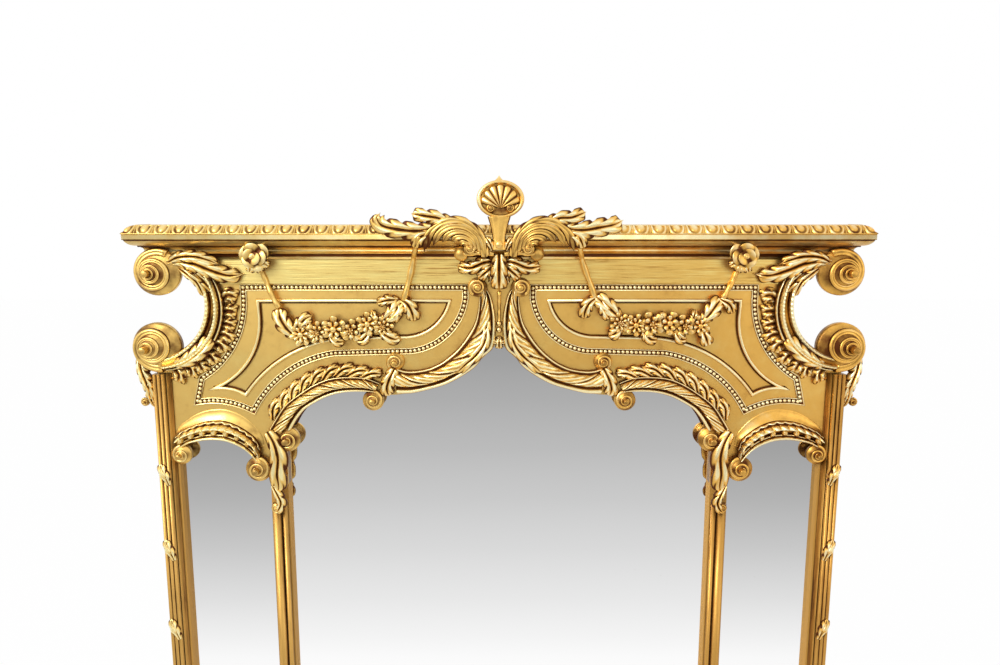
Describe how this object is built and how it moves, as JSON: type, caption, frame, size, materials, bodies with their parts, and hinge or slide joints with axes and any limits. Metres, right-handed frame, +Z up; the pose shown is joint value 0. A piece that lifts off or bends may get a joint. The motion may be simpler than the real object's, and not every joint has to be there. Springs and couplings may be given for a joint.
{
  "type": "trumeau mirror",
  "caption": "Tall gilt wall mirror: three mirror plates under a carved, arched spandrel with scrolled ears, garlands, a deep cornice and a shell crest.",
  "frame": {"origin": "middle of the underside, under the front face of the carcass", "axes": "+X to the viewer's right, -Y out of the front, +Y to the wall, +Z up"},
  "size_m": [1.724, 0.1207, 1.83],
  "materials": {
    "gilding": "carved wood, gilded over gesso and bole, rubbed, brown in the hollows",
    "frieze_gilding": "smooth pale gilding with long fine streaks",
    "dull_gilding": "bronzed gilding, duller and darker than the rest",
    "carcass_wood": "planed softwood, stained brown",
    "back_boards": "thin pine boards, unfinished",
    "mirror_glass": "silvered plate glass",
    "hanger_brass": "dull sheet brass"
  },
  "bodies": {
    "root": {"apex_pendant": "gilding", "arch_leafage": "gilding", "bed_moulding": "gilding", "bottom_rail": "carcass_wood", "bottom_rail_moulding": "dull_gilding", "centre_backboard": "back_boards", "centre_plate": "mirror_glass", "cornice_crown": "gilding", "cornice_top_board": "carcass_wood", "crest_bracket": "gilding", "crest_cartouche": "gilding", "crest_keystone": "gilding", "cross_batten": "carcass_wood", "ear_shellwork": "gilding", "egg_and_dart": "gilding", "frieze_board": "frieze_gilding", "frieze_returns": "frieze_gilding", "garland_bosses": "gilding", "garland_stems": "gilding", "glazing_blocks": "carcass_wood", "hanging_plates": "hanger_brass", "leaf_drops": "gilding", "left_backboard": "back_boards", "left_c_scroll": "gilding", "left_crest_leaf": "gilding", "left_ear_leaf": "gilding", "left_garland": "gilding", "left_lower_arch_scroll": "gilding", "left_mullion": "carcass_wood", "left_mullion_moulding": "dull_gilding", "left_plate": "mirror_glass", "left_side_arch_scroll": "gilding", "left_stile": "carcass_wood", "left_stile_moulding": "dull_gilding", "left_upper_arch_scroll": "gilding", "lower_volutes": "gilding", "panel_beading": "gilding", "panel_moulding": "gilding", "pendant_bellflower": "gilding", "right_backboard": "back_boards", "right_c_scroll": "gilding", "right_crest_leaf": "gilding", "right_ear_leaf": "gilding", "right_garland": "gilding", "right_lower_arch_scroll": "gilding", "right_mullion": "carcass_wood", "right_mullion_moulding": "dull_gilding", "right_plate": "mirror_glass", "right_side_arch_scroll": "gilding", "right_stile": "carcass_wood", "right_stile_moulding": "dull_gilding", "right_upper_arch_scroll": "gilding", "side_brackets": "dull_gilding", "spandrel_board": "gilding", "stile_ties": "dull_gilding", "top_rail": "carcass_wood", "upper_volutes": "gilding"}
  },
  "joints": []
}
